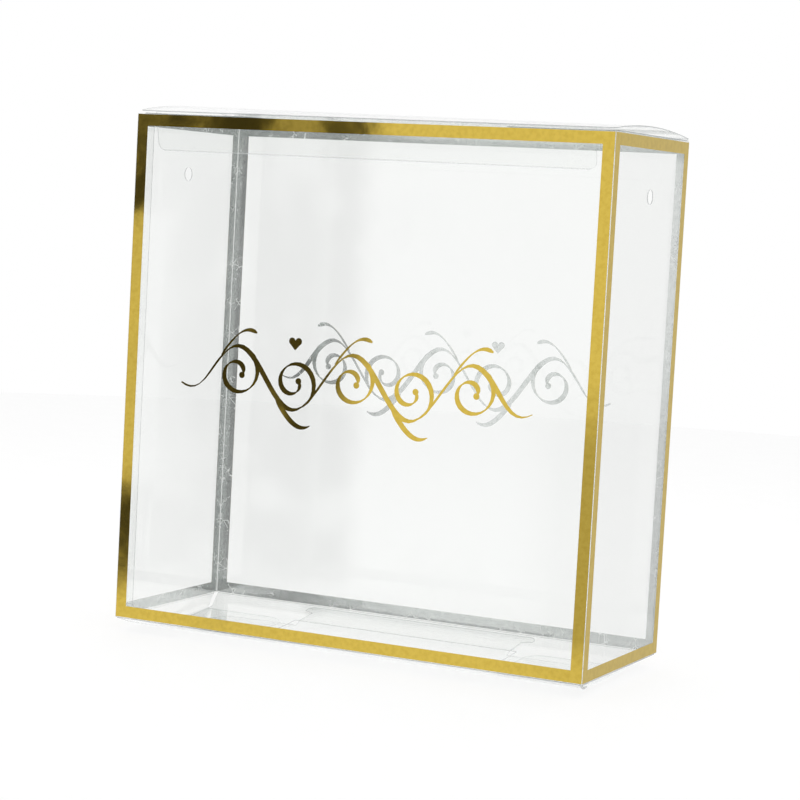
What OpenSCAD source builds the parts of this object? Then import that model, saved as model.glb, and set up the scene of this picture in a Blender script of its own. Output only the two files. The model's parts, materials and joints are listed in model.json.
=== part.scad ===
// Clear wedding card box: one creased sheet of clear film, glued along one side seam,
// with a tuck-in lid, a snap-lock bottom and hot-stamped metallic foil.
// Origin: middle of the flat underside. X is the width, Y the depth (front at -Y), Z up.

/* [Body] */
// Width of the front and back panels
body_w = 250; // [200:5:300]
// Depth of the side panels
body_d = 100; // [90:5:120]
// Height of the four walls, crease to crease
wall_h = 250; // [180:5:300]
// Thickness of the clear film
film = 0.4; // [0.3:0.05:0.5]
// How far the bottom bows below the lower creases
sag = 7; // [4:0.5:8]
// Width of the glued seam flap
glue_w = 9; // [6:0.5:9]

/* [Lid] */
// Rise of the lid's middle above its creases
crown = 3.8; // [2:0.2:5]
// Height of the lid crease above the front panel's top edge
lid_gap = 1.2; // [1:0.1:1.6]
// Depth of the tuck flap
tuck_h = 19; // [15:0.5:21]
// How far each end of the tuck flap stays inside the side panel
tuck_inset = 10; // [9.8:0.2:14]
// Lean of the tuck flap away from the front panel, in degrees
tuck_lean = 12; // [11:0.5:14]
// Length of each dust flap under the lid
dust_len = 58; // [40:1:60]

/* [Bottom lock] */
// Length of each side flap of the bottom
side_len = 57; // [40:1:57]
// Width of the front flap's tongue at its neck
neck_w = 118; // [90:2:118]
// Width of the tongue at its hooked tip
hook_w = 128; // [122:2:130]
// Width of the notch in the back flap
notch_w = 124; // [120:1:124]

/* [Side holes] */
// Radius of the ribbon hole in each side panel
hole_r = 3.5; // [2:0.25:5]
// Depth of the hole's centre below the wall's top edge
hole_drop = 28; // [20:1:60]

/* [Foil] */
// Width of the foil border
border_w = 5.7; // [3:0.1:9]
// Clear strip between a border and the crease beside it
border_gap = 0.3; // [0.3:0.1:1]
// Thickness of the stamped foil
foil = 0.05; // [0.05:0.01:0.08]
// Length of the stamped flourish
motif_w = 186; // [150:2:200]
// Height of the flourish's centre above the lower creases
motif_z = 126; // [110:2:150]
// Size of the foil heart
heart_w = 7; // [4:0.5:12]

/* [Hidden] */
$fn = 64;

half_w = body_w / 2;
half_d = body_d / 2;
wall_top = sag + wall_h;
lid_low = wall_top + lid_gap;
clear_colour = [0.90, 0.94, 0.95, 0.35];
gold = [0.80, 0.64, 0.24];

// Heights of the undersides of the bottom's layers, from the ground up
layer_gap = 0.1;
side_level = film + layer_gap;
back_level = side_level + film + layer_gap;
tongue_rise = film + layer_gap;

// The bottom is flat in its middle and curves up to the creases outside it
flat_y = half_d / 2;
side_drop = 10;
curve_steps = 8;
front_bend_y = -0.3 * half_d;
front_edge_y = 0.36 * half_d;
front_edge_x = half_w - 25;
wing_edge_y = -0.16 * half_d;
notch_edge_y = 0.46 * half_d;
tongue_tip_y = 0.88 * half_d;
flap_inset = 1;
side_end_inset = 3;
side_root_w = body_d - 2 * side_end_inset;
side_flat_w = 2 * flat_y - 2;

// The lid is an arc from its crease at the back to its fold at the front
fold_y = -half_d + 2 * film;
lid_mid_y = (half_d + fold_y) / 2;
lid_half = (half_d - fold_y) / 2;
lid_r = (lid_half * lid_half + crown * crown) / (2 * crown);
lid_top = lid_low + film;
lid_side_gap = 0.5;
crease_play = 0.05;
tuck_start = 1.5 * film;
tuck_corner_r = 4;

// The dust flaps lie between the lid and the side panels' top edges
dust_low = wall_top + 0.2;
dust_front_y = -half_d + 5.5;
dust_back_y = half_d - 2;
dust_taper = 0.55;
dust_corner_r = 8;

function squared(v) = v * v;

// Height of a bottom flap's underside at a distance from the middle line
function bowl(at, level, flat, reach) =
    level + (sag - film - level) * squared(max(0, abs(at) - flat) / (reach - flat));

// A film strip's section: its underside's points, then the same points one film higher
module film_section(under) {
    over = [for (i = [len(under) - 1 : -1 : 0]) [under[i][0], under[i][1] + film]];
    polygon(concat(under, over));
}

// Extrudes a section drawn in (y, z) along the whole width
module along_x(length) {
    rotate([90, 0, 90]) translate([0, 0, -length / 2]) linear_extrude(length) children();
}

// Extrudes a section drawn in (x, z) along the whole depth
module along_y(length) {
    translate([0, length / 2, 0]) rotate([90, 0, 0]) linear_extrude(length) children();
}

// A plan outline cut from a bent film section
module cut_film(height) {
    intersection() {
        translate([0, 0, -1]) linear_extrude(height + 2) children(0);
        children(1);
    }
}

// One wall, standing on the line y = 0 with its outer face at -Y and mitred ends
module wall(length, height) {
    linear_extrude(height) polygon([
        [-length / 2, 0], [length / 2, 0], [length / 2 - film, film], [-length / 2 + film, film]
    ]);
}

// Turns a wall drawn for the front to face the front, right, back or left
module facing(turn) {
    out = turn % 180 == 0 ? half_d : half_w;
    rotate([0, 0, turn]) translate([0, -out, sag]) children();
}

module side_hole() {
    translate([0, -1, wall_h - hole_drop]) rotate([-90, 0, 0]) cylinder(r = hole_r, h = film + 2);
}

module side_wall() {
    difference() {
        wall(body_d, wall_h);
        side_hole();
    }
}

module front_panel() color(clear_colour) facing(0) wall(body_w, wall_h);

module right_panel() color(clear_colour) facing(90) side_wall();

// The back wall reaches up to the lid's crease, past the dust flaps
module back_panel() {
    color(clear_colour) facing(180) wall(body_w, wall_h + lid_gap - crease_play);
}

module left_panel() color(clear_colour) facing(270) side_wall();

// Glued to the inside of the front panel, along its left edge
module glue_flap() {
    chamfer = glue_w / 3;
    color(clear_colour)
        translate([-half_w + film, -half_d + 2 * film, sag]) rotate([90, 0, 0])
            linear_extrude(film) polygon([
                [0, chamfer], [glue_w, 2 * chamfer],
                [glue_w, wall_h - 2 * chamfer], [0, wall_h - chamfer]
            ]);
}

function front_under() = concat(
    [for (i = [0 : curve_steps])
        let (y = -half_d + (half_d - flat_y) * i / curve_steps) [y, bowl(y, 0, flat_y, half_d)]],
    [[front_edge_y, 0], [notch_edge_y - 1, back_level + tongue_rise]],
    [for (i = [0 : curve_steps])
        let (y = flat_y + (tongue_tip_y - flat_y) * i / curve_steps)
            [y, bowl(y, back_level, flat_y, half_d) + tongue_rise]]
);

// The main panel, which narrows towards its free edge, and the hooked tongue there
module front_flap_plan() {
    polygon([
        [-half_w + flap_inset, -half_d], [half_w - flap_inset, -half_d],
        [half_w - side_drop, front_bend_y], [front_edge_x, front_edge_y],
        [-front_edge_x, front_edge_y], [-half_w + side_drop, front_bend_y]
    ]);
    hook_y = 0.72 * half_d;
    translate([-neck_w / 2, front_edge_y - 1]) square([neck_w, tongue_tip_y - front_edge_y + 1]);
    tip_r = (tongue_tip_y - hook_y) / 2;
    for (side = [-1, 1])
        translate([side * (hook_w / 2 - tip_r), tongue_tip_y - tip_r]) circle(r = tip_r);
    translate([-hook_w / 2 + tip_r, hook_y]) square([hook_w - 2 * tip_r, 2 * tip_r]);
}

module bottom_front_flap() {
    color(clear_colour) cut_film(sag + film) {
        front_flap_plan();
        along_x(body_w) film_section(front_under());
    }
}

// A side flap's root is narrowed so that it clears the curved front and back flaps
module side_flap_plan() {
    inner_x = half_w - side_len;
    corner_r = side_flat_w / 5;
    polygon([
        [half_w - 0.1, -side_root_w / 2], [half_w - 0.1, side_root_w / 2],
        [half_w - side_drop, side_flat_w / 2], [inner_x + corner_r, side_flat_w / 2],
        [inner_x + corner_r, -side_flat_w / 2], [half_w - side_drop, -side_flat_w / 2]
    ]);
    for (side = [-1, 1])
        translate([inner_x + corner_r, side * (side_flat_w / 2 - corner_r)]) circle(r = corner_r);
    translate([inner_x, corner_r - side_flat_w / 2])
        square([corner_r, side_flat_w - 2 * corner_r]);
}

function side_under() = concat(
    [[half_w - side_len - 1, side_level]],
    [for (i = [0 : curve_steps])
        let (x = half_w - side_drop + side_drop * i / curve_steps)
            [x, bowl(x, side_level, half_w - side_drop, half_w)]]
);

module side_flap() {
    color(clear_colour) cut_film(sag + film) {
        side_flap_plan();
        along_y(body_d) film_section(side_under());
    }
}

module bottom_right_flap() side_flap();

module bottom_left_flap() mirror([1, 0, 0]) side_flap();

function back_under() = concat(
    [[wing_edge_y - 1, back_level]],
    [for (i = [0 : curve_steps])
        let (y = flat_y + (half_d - flat_y) * i / curve_steps)
            [y, bowl(y, back_level, flat_y, half_d)]]
);

// Two wings beside the notch that the tongue goes through
module back_flap_plan() {
    wing_x = half_w - side_drop - flap_inset;
    difference() {
        polygon([
            [half_w - flap_inset, half_d], [-half_w + flap_inset, half_d],
            [-wing_x, flat_y + 2], [-wing_x, wing_edge_y],
            [wing_x, wing_edge_y], [wing_x, flat_y + 2]
        ]);
        translate([-notch_w / 2, wing_edge_y - 1]) square([notch_w, notch_edge_y - wing_edge_y + 1]);
    }
}

module bottom_back_flap() {
    color(clear_colour) cut_film(sag + film) {
        back_flap_plan();
        along_x(body_w) film_section(back_under());
    }
}

module lid_panel() {
    color(clear_colour) along_x(body_w - 2 * lid_side_gap) intersection() {
        translate([lid_mid_y, lid_top + crown - lid_r]) difference() {
            circle(r = lid_r, $fn = 256);
            circle(r = lid_r - film, $fn = 256);
        }
        translate([fold_y, lid_low - film]) square([half_d - fold_y, crown + 3 * film]);
    }
}

module tuck_plan() {
    width = body_w - 2 * tuck_inset;
    low = -tuck_start - tuck_h;
    translate([-width / 2, low + tuck_corner_r]) square([width, tuck_h - tuck_corner_r]);
    translate([-width / 2 + tuck_corner_r, low]) square([width - 2 * tuck_corner_r, tuck_corner_r]);
    for (side = [-1, 1])
        translate([side * (width / 2 - tuck_corner_r), low + tuck_corner_r])
            circle(r = tuck_corner_r);
}

module tuck_flap() {
    color(clear_colour)
        translate([0, fold_y, lid_top]) rotate([tuck_lean, 0, 0]) translate([0, film, 0])
            rotate([90, 0, 0]) linear_extrude(film) tuck_plan();
}

module dust_plan() {
    tip_x = half_w - dust_len;
    tip_back_y = dust_back_y - dust_taper * dust_len;
    polygon([
        [half_w, dust_front_y + 2], [half_w, dust_back_y], [tip_x, tip_back_y],
        [tip_x, dust_front_y + dust_corner_r], [tip_x + dust_corner_r, dust_front_y],
        [half_w - 2, dust_front_y]
    ]);
    translate([tip_x + dust_corner_r, dust_front_y + dust_corner_r]) circle(r = dust_corner_r);
}

module dust_flap() {
    color(clear_colour) translate([0, 0, dust_low]) linear_extrude(film) dust_plan();
}

module right_dust_flap() dust_flap();

module left_dust_flap() mirror([1, 0, 0]) dust_flap();

// A picture-frame of foil on the outer face of one wall
module foil_border(length) {
    outer_w = length - 2 * border_gap;
    outer_h = wall_h - 2 * border_gap;
    color(gold) rotate([90, 0, 0]) linear_extrude(foil) difference() {
        translate([-outer_w / 2, border_gap]) square([outer_w, outer_h]);
        translate([-outer_w / 2 + border_w, border_gap + border_w])
            square([outer_w - 2 * border_w, outer_h - 2 * border_w]);
    }
}

module front_foil_border() facing(0) foil_border(body_w);

module right_foil_border() facing(90) foil_border(body_d);

module back_foil_border() facing(180) foil_border(body_w);

module left_foil_border() facing(270) foil_border(body_d);

// The flourish is a running scroll, drawn in units of one half-wave of its stem with a broad
// flat pen, whose stroke is thick across the pen's angle and thin along it.
curls = 5;
span = 6;
wave_steps = 12;
curl_steps = 32;
stem_rise = 0.46;
curl_r = 0.42;
curl_end_r = 0.09;
curl_turn = 470;
pen_thin = 0.010;
pen_thick = 0.042;
pen_angle = 38;
drop_r = 0.05;

function wave_x(i) = i - (curls - 1) / 2;

// The stem is a wave that flattens into a long tail past the outer curls
function stem_y(x) = stem_rise * cos(180 * x) * (1 - 1.2 * max(0, abs(x) - curls / 2));

function wave_sign(i) = i % 2 == 0 ? 1 : -1;

// Half the pen's width where the stroke runs along d, with its ends tapered
function pen(d, t) =
    let (across = abs(d[0] * sin(pen_angle) - d[1] * cos(pen_angle)))
        (pen_thin + (pen_thick - pen_thin) * across) * min(1, 0.35 + 6 * min(t, 1 - t));

// Both edges of a stroke through the points of its middle line
function stroke_outline(mid) =
    let (
        last = len(mid) - 1,
        along = [for (i = [0 : last])
            let (d = mid[min(last, i + 1)] - mid[max(0, i - 1)]) d / norm(d)],
        out = [for (i = [0 : last]) [-along[i][1], along[i][0]] * pen(along[i], i / last)],
        left = [for (i = [0 : last]) mid[i] + out[i]],
        right = [for (i = [last : -1 : 0]) mid[i] - out[i]]
    ) concat(left, right);

module stem() {
    polygon(stroke_outline([for (i = [0 : span * wave_steps])
        let (x = i / wave_steps - span / 2) [x, stem_y(x)]]));
}

// A curl that leaves the stem at a crest and winds into the hollow under it
module curl(i) {
    centre = [wave_x(i), wave_sign(i) * (stem_rise - curl_r)];
    mid = [for (k = [0 : curl_steps])
        let (
            t = k / curl_steps,
            r = curl_r + (curl_end_r - curl_r) * t,
            a = 90 - curl_turn * t
        ) centre + r * [cos(a), wave_sign(i) * sin(a)]];
    polygon(stroke_outline(mid));
    translate(mid[curl_steps]) circle(r = drop_r, $fn = 24);
}

// A leaf that stands off the stem beside a crest
module leaf(i) {
    base = [wave_x(i) - 0.30, wave_sign(i) * 0.30];
    mid = [for (k = [0 : wave_steps])
        let (t = k / wave_steps)
            base + [0.62 * t, wave_sign(i) * 0.42 * sin(115 * t)]];
    polygon(stroke_outline(mid));
}

module flourish() {
    color(gold) translate([0, 0, motif_z]) rotate([90, 0, 0]) linear_extrude(foil)
        scale(motif_w / span) {
            stem();
            for (i = [0 : curls - 1]) curl(i);
            for (i = [0 : curls - 1]) leaf(i);
        }
}

module heart() {
    lobe = heart_w / 4;
    tip = 0.62 * heart_w;
    step = motif_w / span;
    color(gold) translate([-step, 0, motif_z + 0.6 * step]) rotate([90, 0, 0])
        linear_extrude(foil) {
            for (side = [-1, 1]) translate([side * lobe, 0]) circle(r = lobe);
            polygon([
                [-1.86 * lobe, -0.51 * lobe], [0, -tip],
                [1.86 * lobe, -0.51 * lobe], [0, 0.2 * lobe]
            ]);
        }
}

module front_foil_flourish() facing(0) flourish();

module back_foil_flourish() facing(180) flourish();

module front_foil_heart() facing(0) heart();

module back_foil_heart() facing(180) heart();

front_panel();
right_panel();
back_panel();
left_panel();
glue_flap();
bottom_front_flap();
bottom_left_flap();
bottom_right_flap();
bottom_back_flap();
lid_panel();
tuck_flap();
left_dust_flap();
right_dust_flap();
front_foil_border();
right_foil_border();
back_foil_border();
left_foil_border();
front_foil_flourish();
back_foil_flourish();
front_foil_heart();
back_foil_heart();
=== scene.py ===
"""The looks of a clear wedding card box: one creased sheet of clear film with bright foil
borders, a foil flourish, a bowed tuck-in lid and a snap-lock bottom."""
import json
import math

import bmesh
import bpy
from mathutils import Matrix, Vector


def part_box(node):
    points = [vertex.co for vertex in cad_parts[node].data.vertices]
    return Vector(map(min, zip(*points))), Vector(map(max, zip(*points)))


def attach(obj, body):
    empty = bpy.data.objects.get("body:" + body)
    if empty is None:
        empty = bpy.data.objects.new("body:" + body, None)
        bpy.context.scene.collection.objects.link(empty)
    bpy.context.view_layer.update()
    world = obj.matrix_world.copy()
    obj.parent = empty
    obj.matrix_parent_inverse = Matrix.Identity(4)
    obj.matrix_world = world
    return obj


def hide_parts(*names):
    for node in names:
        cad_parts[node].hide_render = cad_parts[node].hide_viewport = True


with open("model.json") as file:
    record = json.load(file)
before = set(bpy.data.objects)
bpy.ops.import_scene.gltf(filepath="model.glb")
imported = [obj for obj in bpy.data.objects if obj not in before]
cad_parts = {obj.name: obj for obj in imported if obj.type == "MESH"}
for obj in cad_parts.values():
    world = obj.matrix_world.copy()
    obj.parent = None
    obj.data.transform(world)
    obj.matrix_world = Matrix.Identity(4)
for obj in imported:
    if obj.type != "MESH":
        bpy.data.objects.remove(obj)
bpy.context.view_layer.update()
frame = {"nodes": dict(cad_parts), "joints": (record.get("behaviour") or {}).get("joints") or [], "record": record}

MM = 0.001

# Places that the frame gives
WALL_LOW, WALL_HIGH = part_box("front_panel")
BACK_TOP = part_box("back_panel")[1].z
HALF_W = WALL_HIGH.x
HALF_D = -WALL_LOW.y
FILM = WALL_HIGH.y - WALL_LOW.y
SAG = WALL_LOW.z
LID_LOW, LID_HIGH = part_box("lid_panel")
FOLD_Y = LID_LOW.y
JOINT_AT = {joint["name"]: Vector(joint["pos_m"]) for joint in frame["joints"]}
LID_TOP = JOINT_AT["lid_hinge"].z


# ---------- shader maths ----------

class Socket:
    """A shader number. Its operators add the Math nodes of a Python expression."""

    def __init__(self, tree, link):
        self.tree, self.link = tree, link

    def math(self, operation, *others):
        made = self.tree.nodes.new("ShaderNodeMath")
        made.operation = operation
        for i, value in enumerate((self, *others)):
            feed(self.tree, made.inputs[i], value)
        return Socket(self.tree, made.outputs[0])

    def __add__(self, other):
        return self.math("ADD", other)

    def __radd__(self, other):
        return self.math("ADD", other)

    def __sub__(self, other):
        return self.math("SUBTRACT", other)

    def __rsub__(self, other):
        return (self * -1) + other

    def __mul__(self, other):
        return self.math("MULTIPLY", other)

    def __rmul__(self, other):
        return self.math("MULTIPLY", other)

    def __pow__(self, other):
        return self.math("POWER", other)

    def ramp(self, low, high):
        """0 below low, 1 above high and smooth between them."""
        return add_node(self.tree, "ShaderNodeMapRange", {"interpolation_type": "SMOOTHSTEP"},
                        Value=self, From_Min=low, From_Max=high)["Result"]

    def window(self, low, high, soft):
        """1 between low and high, 0 outside them, with soft edges."""
        return self.ramp(low - soft, low + soft) * (1 - self.ramp(high - soft, high + soft))


def feed(tree, socket, value):
    """Links a shader value to a socket, or sets a number or colour on it."""
    if isinstance(value, Socket):
        tree.links.new(value.link, socket)
    elif isinstance(value, (tuple, list)) and len(value) == 3 and len(socket.default_value) == 4:
        socket.default_value = (*value, 1)
    else:
        socket.default_value = value


def add_node(tree, kind, settings=None, **values):
    """Adds a node, settings first and then the values or links of its sockets. Returns its outputs."""
    made = tree.nodes.new(kind)
    for name, value in (settings or {}).items():
        setattr(made, name, value)
    for name, value in values.items():
        plain = name.replace("_", " ")
        match = [s for s in made.inputs if plain in (s.name, s.identifier) and s.enabled]
        feed(tree, match[0], value)
    return {s.name: Socket(tree, s) for s in made.outputs if s.enabled}


def mix_colour(tree, factor, a, b):
    """Mixes two colours, on the Mix node's factor (0) and colour (6 and 7) sockets."""
    made = tree.nodes.new("ShaderNodeMix")
    made.data_type = "RGBA"
    for i, value in ((0, factor), (6, a), (7, b)):
        feed(tree, made.inputs[i], value)
    return Socket(tree, made.outputs[2])


def mix_shader(tree, factor, a, b):
    made = tree.nodes.new("ShaderNodeMixShader")
    for i, value in enumerate((factor, a, b)):
        feed(tree, made.inputs[i], value)
    return Socket(tree, made.outputs[0])


def new_material(name):
    made = bpy.data.materials.new(name)
    made.use_nodes = True
    made.node_tree.nodes.clear()
    return made, made.node_tree


def finish_nodes(tree, shader, kind="ShaderNodeOutputMaterial"):
    add_node(tree, kind, Surface=shader)


def split(tree, vector):
    parts = add_node(tree, "ShaderNodeSeparateXYZ", Vector=vector)
    return parts["X"], parts["Y"], parts["Z"]


def noise(tree, where, scale, detail):
    return add_node(tree, "ShaderNodeTexNoise", Vector=where, Scale=scale, Detail=detail,
                    Roughness=0.5)["Fac"]


def place(tree):
    return add_node(tree, "ShaderNodeTexCoord")["Object"]


def film_waves(tree, where):
    """The slow waviness of the sheet, the same on the film and on the foil stamped on it."""
    slow = noise(tree, where, 9, 1.0)
    fast = noise(tree, where, 34, 2.0)
    return slow + fast * 0.18


# ---------- materials ----------

FILM_TINT = (0.982, 0.985, 0.982)
MILKY = (0.86, 0.88, 0.88)
# painted shade of the film's cut edges, on the walls and on the bottom's inner flaps
CUT_EDGE_SHADE = (0.34, 0.37, 0.37)
INNER_CUT_EDGE_SHADE = (0.46, 0.48, 0.48)
GOLD = (0.68, 0.495, 0.090)
GOLD_DEEP = (0.61, 0.435, 0.070)
SILVER = (0.86, 0.87, 0.87)
SILVER_DULL = (0.74, 0.76, 0.755)
CRACK_WHITE = (0.96, 0.96, 0.96)
WHITE = (1, 1, 1)
MIRROR_ROUGH = 0.035
WAVE = 0.3 * MM
FLOOR_R = 1.4


def film_shader(tree, haze):
    """Glossy clear film. Haze is the share that looks milky: a number, or a value over the surface."""
    where = place(tree)
    bump = add_node(tree, "ShaderNodeBump", Height=film_waves(tree, where), Strength=0.5,
                    Distance=WAVE)["Normal"]
    smudge = noise(tree, where, 16, 3.0).ramp(0.52, 0.75)
    specks = add_node(tree, "ShaderNodeTexVoronoi", Vector=where, Scale=95)["Distance"]
    dust = (1 - specks.ramp(0.012, 0.03)) * noise(tree, where, 24, 1.0).ramp(0.5, 0.6)
    facing = add_node(tree, "ShaderNodeLayerWeight", Blend=0.5, Normal=bump)["Facing"]
    shine = 0.036 + facing ** 5 * 0.9
    gloss = add_node(tree, "ShaderNodeBsdfPrincipled", Base_Color=WHITE, Metallic=1.0,
                     Roughness=MIRROR_ROUGH + smudge * 0.06, Normal=bump)["BSDF"]
    milky = add_node(tree, "ShaderNodeBsdfPrincipled", Base_Color=MILKY, Roughness=0.4)["BSDF"]
    clear = add_node(tree, "ShaderNodeBsdfTransparent", Color=FILM_TINT)["BSDF"]
    body = mix_shader(tree, shine, clear, gloss)
    return mix_shader(tree, haze + smudge * 0.012 + dust * 0.25, body, milky)


def clear_film():
    """The broad faces of the sheet."""
    made, tree = new_material("clear_film")
    finish_nodes(tree, film_shader(tree, 0.0))
    return made


def creased_film():
    """The sheet along a crease, whitened by the fold."""
    made, tree = new_material("creased_film")
    streaks = noise(tree, place(tree), 700, 2.0)
    finish_nodes(tree, film_shader(tree, 0.18 + streaks * 0.24))
    return made


def cut_edge(name, shade, cover):
    """The sheet's cut edges, painted grey: painted shade that stands in for the light caught inside the film."""
    made, tree = new_material(name)
    nicks_and_shade = noise(tree, place(tree), 900, 3.0)
    # painted shade: the grey, darker in patches where the edge is nicked, stands in for light caught inside the
    # film
    colour = mix_colour(tree, nicks_and_shade, [0.7 * part for part in shade], shade)
    dark = add_node(tree, "ShaderNodeBsdfPrincipled", Base_Color=colour,
                    Roughness=0.2 + nicks_and_shade * 0.2)["BSDF"]
    clear = add_node(tree, "ShaderNodeBsdfTransparent", Color=FILM_TINT)["BSDF"]
    finish_nodes(tree, mix_shader(tree, cover + nicks_and_shade * 0.3, clear, dark))
    return made


def stamped_foil(name, axis, outward):
    """Mirror-bright foil, gold on its outer face and silver where it shows through the film."""
    made, tree = new_material(name)
    where = place(tree)
    side = split(tree, add_node(tree, "ShaderNodeTexCoord")["Normal"])["XYZ".index(axis)]
    inner = (side * -outward).ramp(0.2, 0.4)
    mottle = noise(tree, where, 420, 3.0)
    cracks = add_node(tree, "ShaderNodeTexVoronoi", {"feature": "DISTANCE_TO_EDGE"}, Vector=where,
                      Scale=240)["Distance"]
    worn = (1 - cracks.ramp(0.01, 0.035)) * noise(tree, where, 130, 3.0).ramp(0.55, 0.62) * inner
    gold = mix_colour(tree, mottle.ramp(0.35, 0.75), GOLD, GOLD_DEEP)
    silver = mix_colour(tree, mottle.ramp(0.3, 0.7), SILVER, SILVER_DULL)
    silver = mix_colour(tree, worn, silver, CRACK_WHITE)
    colour = mix_colour(tree, inner, gold, silver)
    height = film_waves(tree, where) + mottle * 0.004 + worn * 0.02
    bump = add_node(tree, "ShaderNodeBump", Height=height, Strength=0.8, Distance=2 * WAVE)["Normal"]
    rough = MIRROR_ROUGH + mottle * 0.02 + inner * 0.06 + worn * 0.3
    metal = 1 - inner * 0.13 - worn * 0.8
    finish_nodes(tree, add_node(
        tree, "ShaderNodeBsdfPrincipled", Base_Color=colour, Metallic=metal, Roughness=rough,
        Normal=bump)["BSDF"])
    return made


def pale_floor():
    """A white sweep with painted light: it glows a little, most at its middle, so that shadows on it are faint.
    Mirrors see past it.
    """
    made, tree = new_material("pale_floor")
    where = place(tree)
    grain = noise(tree, where, 40, 3.0)
    colour = mix_colour(tree, grain, (0.27, 0.27, 0.27), (0.29, 0.29, 0.29))
    far = add_node(tree, "ShaderNodeVectorMath", {"operation": "LENGTH"}, Vector=where)["Value"]
    # painted light: the floor's glow is brightest at the middle and dims towards the rim
    glow = mix_colour(tree, far.ramp(0.1, FLOOR_R), WHITE, (0.93, 0.93, 0.93))
    lit = add_node(tree, "ShaderNodeBsdfPrincipled", Base_Color=colour, Roughness=0.8,
                   Emission_Color=glow, Emission_Strength=0.68)["BSDF"]
    unseen = add_node(tree, "ShaderNodeBsdfTransparent", Color=WHITE)["BSDF"]
    glossy = add_node(tree, "ShaderNodeLightPath")["Is Glossy Ray"]
    finish_nodes(tree, mix_shader(tree, glossy, lit, unseen))
    return made


def give(node, material):
    piece = frame["nodes"][node]
    piece.data.materials.clear()
    piece.data.materials.append(material)


# ---------- camera, light and floor ----------

EYE = (0.4962, -1.031, 0.2169)
LOOK = (-0.4309, 0.8987, -0.0811)
LOOK_UP = (-0.0846, 0.0492, 0.9952)
LENS = 105.15
DEGREES = 180 / math.pi
GAP_END = 58
GAP_TOP = 14
SIDE_TURN = 24


def add_camera():
    data = bpy.data.cameras.new("camera")
    data.lens = LENS
    data.sensor_width = 36
    data.clip_end = 50
    camera = bpy.data.objects.new("camera", data)
    bpy.context.scene.collection.objects.link(camera)
    ahead = Vector(LOOK).normalized()
    right = ahead.cross(Vector(LOOK_UP)).normalized()
    up = right.cross(ahead)
    turn = Matrix((right, up, -ahead)).transposed().to_4x4()
    camera.matrix_world = Matrix.Translation(EYE) @ turn
    bpy.context.scene.camera = camera


def add_world():
    """A white studio to the camera. All other rays see darker patches in it, which the foil mirrors.

    A patch is a window in degrees of turn, from the front or the back, and of rise. The gap beside
    the front window is nearly black, but for a lit card and a lit strip in it.
    """
    world = bpy.data.worlds.new("studio")
    bpy.context.scene.world = world
    world.use_nodes = True
    tree = world.node_tree
    tree.nodes.clear()
    direction = add_node(tree, "ShaderNodeTexCoord")["Generated"]
    x, y, z = split(tree, direction)
    front_turn = (x * -1).math("ARCTAN2", y * -1) * DEGREES
    back_turn = x.math("ARCTAN2", y) * DEGREES
    rise = z.math("ARCSINE") * DEGREES
    streaks = noise(tree, direction, 42, 1.0).ramp(0.5, 0.7)

    # The gap, and the card and strip of light in it
    gap = front_turn.window(26.7, GAP_END, 0.35) * rise.window(-9.2, GAP_TOP, 0.35)
    lit_card = front_turn.window(31.5, GAP_END, 0.3) * rise.window(-6.9, -0.35, 0.3)
    lit_strip = front_turn.window(27.8, 29.0, 0.2) * rise.window(0.6, GAP_TOP, 0.3)
    dark = gap * (1 - lit_card * 0.85 - lit_strip * 0.45) * (0.95 - streaks * 0.5)

    # Two cards behind the box, for its side walls
    side = back_turn.window(SIDE_TURN, 31.2, 1.2) * 0.4 + back_turn.window(6, SIDE_TURN, 1.2) * 0.24
    side = side * rise.window(-30, 30, 8.0)

    # Shade low in the front window, and a card across from the gap that the back corner mirrors
    shade = front_turn.window(10, 22.0, 1.0) * rise.window(-10.7, -4.6, 0.8)
    far_side = front_turn.window(-36, -24, 1.5) * rise.window(-14, 14, 1.5)
    low_patch = front_turn.window(28.3, 30.2, 0.3) * rise.window(-9.9, -9.2, 0.2)

    level = 1.0 - dark - side - shade * 0.36 - far_side * 0.65 - low_patch * 0.6
    seen = add_node(tree, "ShaderNodeLightPath")["Is Camera Ray"]
    strength = seen + (1 - seen) * level
    light = add_node(tree, "ShaderNodeBackground", Color=WHITE, Strength=strength)["Background"]
    finish_nodes(tree, light, "ShaderNodeOutputWorld")


def add_lamp(name, where, aim, size, power):
    data = bpy.data.lights.new(name, "AREA")
    data.shape = "DISK"
    data.size = size
    data.energy = power
    lamp = bpy.data.objects.new(name, data)
    bpy.context.scene.collection.objects.link(lamp)
    lamp.location = where
    lamp.rotation_euler = (Vector(aim) - Vector(where)).to_track_quat("-Z", "Y").to_euler()


def add_floor():
    bpy.ops.object.select_all(action="DESELECT")
    bpy.ops.mesh.primitive_circle_add(vertices=128, radius=FLOOR_R, fill_type="NGON")
    floor = bpy.context.object
    floor.name = "floor"
    floor.data.materials.append(pale_floor())


# ---------- sheet work ----------

def deselect():
    if bpy.context.object and bpy.context.object.mode != "OBJECT":
        bpy.ops.object.mode_set(mode="OBJECT")
    bpy.ops.object.select_all(action="DESELECT")


def start_sheet(name, low, high):
    """A flat rectangle of film from low to high, in sheet coordinates (u, v), open in edit mode."""
    deselect()
    middle = ((low[0] + high[0]) / 2, (low[1] + high[1]) / 2, 0)
    bpy.ops.mesh.primitive_plane_add(size=1, location=middle)
    piece = bpy.context.object
    piece.name = name
    piece.scale = (high[0] - low[0], high[1] - low[1], 1)
    bpy.ops.object.transform_apply(location=True, rotation=True, scale=True)
    bpy.ops.object.mode_set(mode="EDIT")
    return piece


def pick(piece, test, kind="VERT"):
    """Selects the points, edges or faces whose middle passes the test."""
    bpy.ops.mesh.select_mode(type=kind)
    bpy.ops.mesh.select_all(action="DESELECT")
    mesh = bmesh.from_edit_mesh(piece.data)
    items = {"VERT": mesh.verts, "EDGE": mesh.edges, "FACE": mesh.faces}[kind]
    for item in items:
        corners = [item.co] if kind == "VERT" else [v.co for v in item.verts]
        if test(sum(corners, Vector()) / len(corners)):
            item.select_set(True)
    bmesh.update_edit_mesh(piece.data)


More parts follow.
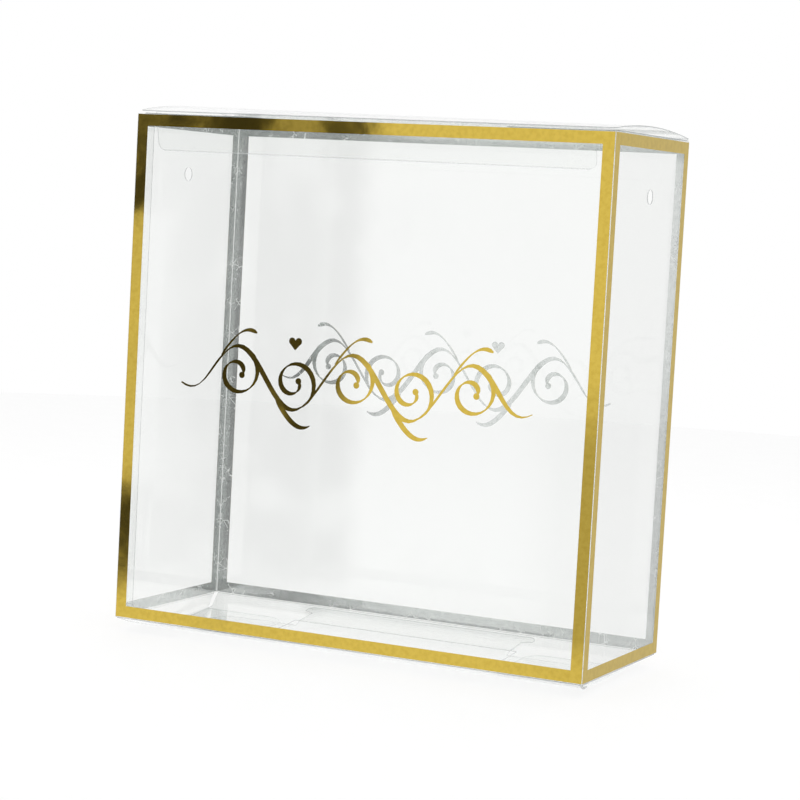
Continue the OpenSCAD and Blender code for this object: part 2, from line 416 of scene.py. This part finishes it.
def grow(piece, test, step, widen=1.0):
    """Extrudes the free edges that pass the test along v, and widens their far side."""
    pick(piece, test, "EDGE")
    bpy.ops.mesh.extrude_region_move(TRANSFORM_OT_translate={"value": (0, step, 0)})
    bpy.ops.transform.resize(value=(widen, 1, 1), center_override=(0, 0, 0))


def round_corners(piece, test, radius, steps=8):
    pick(piece, test)
    bpy.ops.mesh.bevel(offset=radius, segments=steps, affect="VERTICES")


def cut_lines(axis, places):
    """Cuts the sheet across at each place, so that it can bend there."""
    normal = Vector((axis == "u", axis == "v", 0))
    for at in places:
        bpy.ops.mesh.select_all(action="SELECT")
        bpy.ops.mesh.bisect(plane_co=normal * at, plane_no=normal)


def evenly(low, high, count):
    return [low + (high - low) * (i + 1) / (count + 1) for i in range(count)]


def bend(piece, formula):
    """Puts every point of the flat sheet at formula(u, v)."""
    bpy.ops.object.mode_set(mode="OBJECT")
    for vertex in piece.data.vertices:
        vertex.co = formula(vertex.co.x, vertex.co.y)


def thicken(piece, side, edge=None):
    """Gives the sheet its thickness, to the outside (1) or inside (-1) of its drawn face."""
    for material in (CLEAR, edge or FIRM_EDGE, CREASED):
        piece.data.materials.append(material)
    solid = piece.modifiers.new("thickness", "SOLIDIFY")
    solid.thickness = FILM
    solid.offset = side
    solid.use_even_offset = True
    solid.material_offset_rim = 1
    bpy.ops.object.modifier_apply(modifier=solid.name)


def crease_faces(piece, test, rims_too=True):
    """Gives the crease material to the faces whose middle passes the test."""
    for face in piece.data.polygons:
        if test(face.center) and (rims_too or face.material_index == 0):
            face.material_index = 2


def finish_sheet(piece, body, node):
    bpy.ops.object.shade_smooth_by_angle(angle=math.radians(35))
    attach(piece, body)
    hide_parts(node)


# ---------- the four walls ----------

CREASE_R = 0.4 * MM      # radius of the wall creases
FOIL_CLEAR = 0.02 * MM   # gap that keeps the film's face apart from the foil's
WALL_LINES = 12          # cuts across a wall, each way


def wall_place(turn):
    """The place of a wall's point: u along the wall, v up, with its ends curving in to the creases."""
    along = HALF_W if turn % 180 == 0 else HALF_D
    out = HALF_D if turn % 180 == 0 else HALF_W
    spin = Matrix.Rotation(math.radians(turn), 3, "Z")

    def formula(u, v):
        past = max(0, abs(u) - (along - CREASE_R))
        inward = CREASE_R - math.sqrt(CREASE_R ** 2 - past ** 2)
        return spin @ Vector((u, FOIL_CLEAR - out + inward, v))
    return formula


def add_wall(name, turn, top, holes=False):
    along = HALF_W if turn % 180 == 0 else HALF_D
    end = along - CREASE_R * (1 - math.sqrt(0.5))
    piece = start_sheet(name, (-end, SAG), (end, top))
    bends = [along - CREASE_R * share for share in (1, 0.8, 0.6, 0.45)]
    cut_lines("u", [-at for at in bends] + bends + evenly(-along, along, WALL_LINES))
    cut_lines("v", evenly(SAG, top, WALL_LINES))
    bend(piece, wall_place(turn))
    thicken(piece, -1)
    spin = Matrix.Rotation(math.radians(-turn), 3, "Z")
    crease_faces(piece, lambda at: abs((spin @ at).x) > along - CREASE_R)
    if holes:
        punch(piece, turn)
    finish_sheet(piece, "box", name)


def punch(piece, turn):
    """The ribbon hole, with its cut edge."""
    mount = next(m for m in frame["record"]["mounts"] if m["name"].endswith("ribbon_hole"))
    radius = mount["dims"]["r_mm"] * MM
    deselect()
    side = math.copysign(HALF_W, math.sin(math.radians(turn)))
    bpy.ops.mesh.primitive_cylinder_add(vertices=48, radius=radius, depth=20 * FILM,
                                        location=(side, 0, mount["pos_m"][2]),
                                        rotation=(0, math.pi / 2, 0))
    cutter = bpy.context.object
    cutter.data.materials.append(FIRM_EDGE)
    deselect()
    bpy.context.view_layer.objects.active = piece
    piece.select_set(True)
    hole = piece.modifiers.new("hole", "BOOLEAN")
    hole.operation = "DIFFERENCE"
    hole.solver = "EXACT"
    hole.object = cutter
    bpy.ops.object.modifier_apply(modifier=hole.name)
    bpy.data.objects.remove(cutter)


def add_glue_flap():
    """The seam flap stands behind the front wall's left edge."""
    low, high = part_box("glue_flap")
    wide = high.x - low.x
    piece = start_sheet("glue_flap", (low.x, low.z), (high.x, high.z))
    pick(piece, lambda at: at.x > low.x + wide / 2)
    bpy.ops.transform.resize(value=(1, 1 - 2 * wide / (high.z - low.z) / 3, 1),
                             center_override=(0, (low.z + high.z) / 2, 0))
    cut_lines("v", evenly(low.z, high.z, WALL_LINES))
    bend(piece, lambda u, v: Vector((u, low.y, v)))
    thicken(piece, -1)
    finish_sheet(piece, "box", "glue_flap")


# ---------- the lid ----------

EDGE_STRIP = 0.5 * MM    # whitened strip along the tuck flap's lower edge
CREASE_STRIP = 0.8 * MM  # whitened strip along a flap's crease
LID_CORNER = 3 * MM      # corner radius at the lid's front fold
TUCK_CORNER = 4 * MM     # corner radius of the tuck flap
TUCK_CURL = 0.5 * MM     # how far the tuck flap curls
DUST_CORNER = 8 * MM     # corner radius at the dust flap's tip
DUST_ROOT = 2 * MM       # corner radius at the dust flap's crease
DUST_TAPER = 0.55        # how far the dust flap's tip narrows, of its reach
DUST_DROOP = 0.25 * MM   # how far the dust flap sags in its middle
END_LIFT = 0.22          # extra height of the lid's bow at its left end


def lid_rise(x, y):
    """The lid's height above its two creases. It stands a little prouder at its left end."""
    middle, half = (FOLD_Y + HALF_D) / 2, (HALF_D - FOLD_Y) / 2
    crown = (LID_HIGH.z - LID_TOP) * (1 - END_LIFT * x / HALF_W)
    return crown * (1 - ((y - middle) / half) ** 2)


def add_lid():
    piece = start_sheet("lid_panel", (LID_LOW.x, FOLD_Y), (LID_HIGH.x, HALF_D))
    strip_low, strip_high = FOLD_Y + CREASE_STRIP, HALF_D - CREASE_STRIP
    round_corners(piece, lambda at: at.y < FOLD_Y + MM, LID_CORNER, 4)
    cut_lines("v", evenly(FOLD_Y, HALF_D, 24) + [strip_low, strip_high])
    cut_lines("u", evenly(LID_LOW.x, LID_HIGH.x, 16))
    bend(piece, lambda u, v: Vector((u, v, LID_TOP + lid_rise(u, v))))
    thicken(piece, -1)
    crease_faces(piece, lambda at: at.y < strip_low or at.y > strip_high, False)
    finish_sheet(piece, "lid", "lid_panel")


def add_tuck_flap():
    """Hangs from the lid's fold and leans away from the front wall, with a slight curl of its own."""
    low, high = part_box("tuck_flap")
    lean = math.atan2(high.y - low.y - FILM, high.z - low.z)
    start = (LID_TOP - high.z) / math.cos(lean)
    long = (high.z - low.z) / math.cos(lean)
    piece = start_sheet("tuck_flap", (low.x, -start - long), (high.x, -start))
    round_corners(piece, lambda at: at.y < -start - long / 2, TUCK_CORNER)
    cut_lines("v", evenly(-start - long, -start, 8) + [EDGE_STRIP - start - long])
    cut_lines("u", evenly(low.x, high.x, 14))

    def drop(u, v):
        curl = TUCK_CURL * math.sin(math.pi * (v + start) / long) * math.cos(5 * u / HALF_W)
        return Vector((u, FOLD_Y + abs(v) * math.sin(lean) + curl, LID_TOP - abs(v) * math.cos(lean)))
    bend(piece, drop)
    thicken(piece, -1)
    crease_faces(piece, lambda at: at.z < low.z + EDGE_STRIP, False)
    finish_sheet(piece, "tuck", "tuck_flap")


def add_dust_flap(side, name):
    low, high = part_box(f"{name}_dust_flap")
    reach = high.x - low.x
    tip, root = (low.x, high.x) if side > 0 else (-high.x, -low.x)
    piece = start_sheet(f"{name}_dust_flap", (tip, low.y), (root, high.y))
    pick(piece, lambda at: at.x < root - reach / 2 and at.y > 0)
    bpy.ops.transform.translate(value=(0, -DUST_TAPER * reach, 0))
    round_corners(piece, lambda at: at.x < root - reach / 2 and at.y < 0, DUST_CORNER)
    round_corners(piece, lambda at: at.x > root - MM and at.y < 0, DUST_ROOT, 3)
    cut_lines("u", evenly(tip, root, 10) + [root - CREASE_STRIP])

    def lie(u, v):
        droop = DUST_DROOP * math.sin(math.pi * (root - u) / reach)
        return Vector((u, v, high.z - droop))
    bend(piece, lie)
    thicken(piece, -1)
    crease_faces(piece, lambda at: at.x > root - CREASE_STRIP, False)
    if side < 0:
        mirror_sheet(piece)
    finish_sheet(piece, f"{name}_dust", f"{name}_dust_flap")


def mirror_sheet(piece):
    """Mirrors a finished sheet from the right side to the left."""
    for vertex in piece.data.vertices:
        vertex.co.x = -vertex.co.x
    piece.data.flip_normals()


# ---------- the bottom ----------

LOW_Y = -0.2 * HALF_D         # where the bottom hangs lowest
BEND_X = HALF_W - 10 * MM     # where the side flaps lie flat
SHOULDER_Y = 0.36 * HALF_D    # where the tongue starts
NOTCH_Y = 0.46 * HALF_D       # edge of the back flap's notch
SIDE_LEVEL = FILM + 0.1 * MM  # one layer of film above the lowest
BACK_LEVEL = 2 * SIDE_LEVEL
TONGUE_LEVEL = 3 * SIDE_LEVEL
FLAP_CORNER = 6 * MM          # corner radius of the front and back flaps
HOOK_CORNER = 3.5 * MM        # corner radius of the tongue
NOTCH_CORNER = 3 * MM         # corner radius beside the notch
SIDE_CORNER = 9.6 * MM        # corner radius of the side flaps
NEAR = 0.1 * MM               # how close an edge lies to the line that picks it


def hang(y, level=0.0):
    """Underside of a layer of the bottom, level above the lowest one away from the creases."""
    if y < LOW_Y:
        rise = ((LOW_Y - y) / (HALF_D + LOW_Y)) ** 2.6
    else:
        rise = ((y - LOW_Y) / (HALF_D - LOW_Y)) ** 2
    return (SAG - FILM) * rise + level * (1 - min(1, rise) ** 4)


def add_front_bottom():
    """The outer flap with its hooked tongue, which climbs through the back flap's notch."""
    low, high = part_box("bottom_front_flap")
    bend_y, edge_x = -0.3 * HALF_D, HALF_W - 25 * MM
    hook_y, neck_x, hook_x = 0.72 * HALF_D, 59 * MM, 64 * MM
    piece = start_sheet("bottom_front_flap", (low.x, low.y), (high.x, bend_y))
    pick(piece, lambda at: at.y > bend_y - MM)
    bpy.ops.transform.resize(value=(BEND_X / high.x, 1, 1), center_override=(0, 0, 0))
    grow(piece, lambda at: at.y > bend_y - NEAR, SHOULDER_Y - bend_y, edge_x / BEND_X)
    cut_lines("u", [-neck_x, neck_x])
    grow(piece, lambda at: at.y > SHOULDER_Y - NEAR and abs(at.x) < neck_x - MM,
         hook_y - SHOULDER_Y)
    grow(piece, lambda at: at.y > hook_y - NEAR, 2 * MM, hook_x / neck_x)
    grow(piece, lambda at: at.y > hook_y + MM, high.y - hook_y - 2 * MM)
    round_corners(piece, lambda at: at.y > high.y - MM, HOOK_CORNER)
    round_corners(piece, lambda at: abs(at.y - SHOULDER_Y) < MM and abs(at.x) > edge_x - MM,
                  FLAP_CORNER)
    cut_lines("v", evenly(low.y, SHOULDER_Y, 16) + evenly(SHOULDER_Y, NOTCH_Y, 3)
              + evenly(NOTCH_Y, high.y, 6) + [NOTCH_Y])
    cut_lines("u", evenly(low.x, high.x, 14))

    def lie(u, v):
        climb = max(0, min(1, (v - SHOULDER_Y) / (NOTCH_Y - SHOULDER_Y)))
        return Vector((u, v, hang(v) + TONGUE_LEVEL * climb * climb * (3 - 2 * climb)))
    bend(piece, lie)
    thicken(piece, 1, FAINT_EDGE)
    finish_sheet(piece, "box", "bottom_front_flap")


def add_back_bottom():
    """The inner flap: two wings beside a notch."""
    low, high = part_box("bottom_back_flap")
    wing_x, wide_y, notch_x = BEND_X - MM, HALF_D / 2 + 2 * MM, 62 * MM
    piece = start_sheet("bottom_back_flap", (-wing_x, low.y), (wing_x, wide_y))
    grow(piece, lambda at: at.y > wide_y - NEAR, HALF_D - wide_y, high.x / wing_x)
    cut_lines("u", [-notch_x, notch_x])
    cut_lines("v", [NOTCH_Y])
    pick(piece, lambda at: at.y < NOTCH_Y and abs(at.x) < notch_x, "FACE")
    bpy.ops.mesh.delete(type="FACE")
    round_corners(piece, lambda at: at.y < low.y + MM and abs(at.x) > wing_x - MM, FLAP_CORNER)
    round_corners(piece, lambda at: at.y < low.y + MM and abs(at.x) < notch_x + MM, NOTCH_CORNER)
    cut_lines("v", evenly(low.y, HALF_D, 16))
    cut_lines("u", evenly(-wing_x, wing_x, 12))
    bend(piece, lambda u, v: Vector((u, v, hang(v, BACK_LEVEL))))
    thicken(piece, 1, FAINT_EDGE)
    finish_sheet(piece, "box", "bottom_back_flap")


def add_side_bottom(side, name):
    """A side flap drops from the side wall's crease and lies between the other two."""
    low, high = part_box(f"bottom_{name}_flap")
    root_x = max(abs(low.x), abs(high.x))
    tip_x = root_x - (high.x - low.x)
    flat_y = HALF_D / 2 - MM
    piece = start_sheet(f"bottom_{name}_flap", (tip_x, -flat_y), (root_x, flat_y))
    cut_lines("u", [BEND_X])
    pick(piece, lambda at: at.x > root_x - MM)
    bpy.ops.transform.resize(value=(1, high.y / flat_y, 1), center_override=(0, 0, 0))
    round_corners(piece, lambda at: at.x < tip_x + MM, SIDE_CORNER)
    cut_lines("u", evenly(BEND_X, root_x, 9) + evenly(tip_x, BEND_X, 5))
    cut_lines("v", evenly(low.y, high.y, 16))

    def lie(u, v):
        level = hang(v, SIDE_LEVEL)
        climb = (max(0, u - BEND_X) / (HALF_W - BEND_X)) ** 2
        return Vector((u, v, level + (SAG - FILM - level) * climb))
    bend(piece, lie)
    thicken(piece, 1, FAINT_EDGE)
    if side < 0:
        mirror_sheet(piece)
    finish_sheet(piece, "box", f"bottom_{name}_flap")


# ---------- assembly ----------

CLEAR = clear_film()
CREASED = creased_film()
FIRM_EDGE = cut_edge("cut_edge", CUT_EDGE_SHADE, 0.45)
FAINT_EDGE = cut_edge("inner_cut_edge", INNER_CUT_EDGE_SHADE, 0.30)
add_wall("front_panel", 0, WALL_HIGH.z)
add_wall("right_panel", 90, WALL_HIGH.z, holes=True)
add_wall("back_panel", 180, BACK_TOP)
add_wall("left_panel", 270, WALL_HIGH.z, holes=True)
add_glue_flap()
add_lid()
add_tuck_flap()
add_front_bottom()
add_back_bottom()
for side, name in ((-1, "left"), (1, "right")):
    add_dust_flap(side, name)
    add_side_bottom(side, name)
FACINGS = (("front", "Y", -1), ("back", "Y", 1), ("left", "X", -1), ("right", "X", 1))
for side, axis, outward in FACINGS:
    foil = stamped_foil(f"foil_{side}", axis, outward)
    give(f"{side}_foil_border", foil)
    if axis == "Y":
        give(f"{side}_foil_flourish", foil)
        give(f"{side}_foil_heart", foil)

add_camera()
add_world()
add_lamp("overhead", where=(0.2, -0.4, 1.6), aim=(0, 0, 0.1), size=1.2, power=2)
add_floor()

scene = bpy.context.scene
scene.view_settings.view_transform = "Standard"
scene.cycles.transparent_max_bounces = 48
scene.cycles.max_bounces = 16
